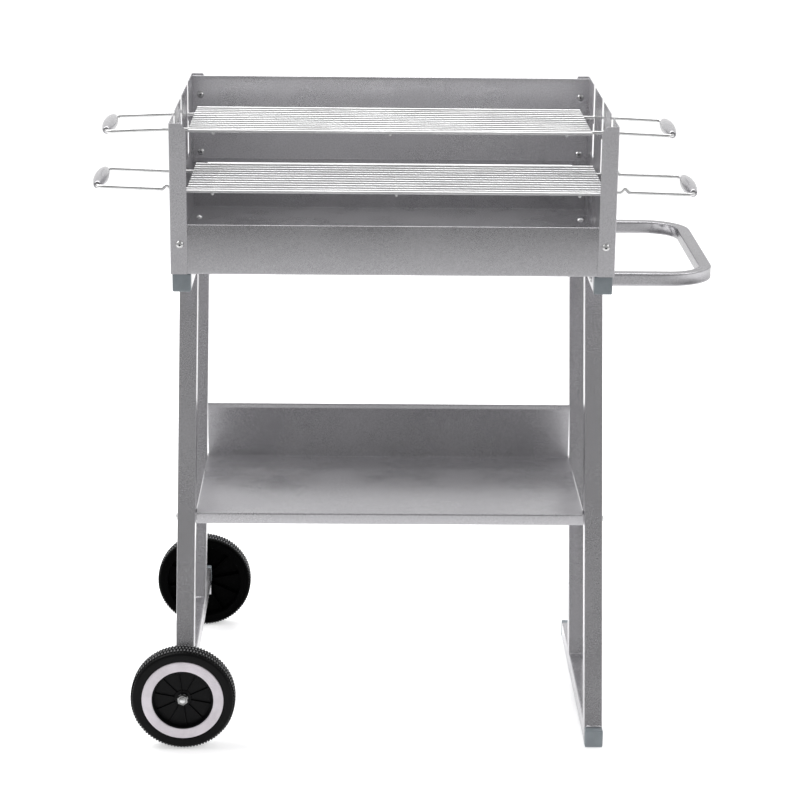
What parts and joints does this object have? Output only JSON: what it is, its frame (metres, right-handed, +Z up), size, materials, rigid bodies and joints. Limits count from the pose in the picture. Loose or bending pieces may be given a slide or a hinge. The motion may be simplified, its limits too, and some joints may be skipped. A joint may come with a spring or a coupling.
{
  "type": "charcoal trolley grill",
  "caption": "Open sheet-steel charcoal grill box with lift-out wire grates, on a slanted square-tube trolley frame with a shelf, a push handle and wheels.",
  "frame": {"origin": "on the floor, under the middle of the whole grill's box", "axes": "+X to the push handle's side, +Y from the open front to the back panel, +Z up"},
  "size_m": [0.863, 0.5522, 0.858],
  "materials": {
    "silver_paint": "satin metallic silver paint with fine grain",
    "cap_grey": "moulded blue-grey plastic",
    "zinc": "zinc-plated steel",
    "chrome": "bright chromed wire",
    "grip_silver": "silver lacquer with fine grain",
    "wheel_black": "black moulded plastic with a light sheen",
    "ring_white": "off-white plastic"
  },
  "bodies": {
    "root": {"left_side_panel": "silver_paint", "right_side_panel": "silver_paint", "fire_tray": "silver_paint", "back_panel": "silver_paint", "post_screws": "zinc", "post_nuts": "zinc", "back_panel_screws": "zinc", "back_panel_nuts": "zinc", "tray_bolts": "zinc", "tray_nuts": "zinc", "left_top_bar": "silver_paint", "right_top_bar": "silver_paint", "front_left_leg": "silver_paint", "rear_left_leg": "silver_paint", "front_right_leg": "silver_paint", "rear_right_leg": "silver_paint", "foot_bar": "silver_paint", "axle_bar": "silver_paint", "top_bar_caps": "cap_grey", "foot_bar_caps": "cap_grey", "axle_bar_caps": "cap_grey", "shelf": "silver_paint", "shelf_bolts": "zinc", "shelf_nuts": "zinc", "push_handle": "silver_paint", "push_handle_inserts": "zinc", "push_handle_bolts": "zinc", "axle_brackets": "silver_paint", "axle": "zinc", "axle_spacers": "zinc", "axle_washers": "zinc", "axle_nuts": "zinc"},
    "front_wheel": {"front_wheel": "wheel_black", "front_wheel_ring": "ring_white"},
    "rear_wheel": {"rear_wheel": "wheel_black", "rear_wheel_ring": "ring_white"},
    "lower_grate": {"lower_grate": "chrome", "lower_left_handle": "chrome", "lower_right_handle": "chrome", "lower_left_grip": "grip_silver", "lower_right_grip": "grip_silver"},
    "upper_grate": {"upper_grate": "chrome", "upper_left_handle": "chrome", "upper_right_handle": "chrome", "upper_left_grip": "grip_silver", "upper_right_grip": "grip_silver"}
  },
  "joints": [
    {"name": "front_wheel_spin", "type": "hinge", "parent": "root", "child": "front_wheel", "pos_m": [-0.299, -0.25885, 0.0725], "axis": [0, 1, 0], "continuous": true},
    {"name": "rear_wheel_spin", "type": "hinge", "parent": "root", "child": "rear_wheel", "pos_m": [-0.299, 0.20615, 0.0725], "axis": [0, 1, 0], "continuous": true},
    {"name": "lower_grate_lift", "type": "slide", "parent": "root", "child": "lower_grate", "axis": [0, 0, 1], "range_m": [0, 0.045]},
    {"name": "upper_grate_lift", "type": "slide", "parent": "root", "child": "upper_grate", "axis": [0, 0, 1], "range_m": [0, 0.12]}
  ]
}
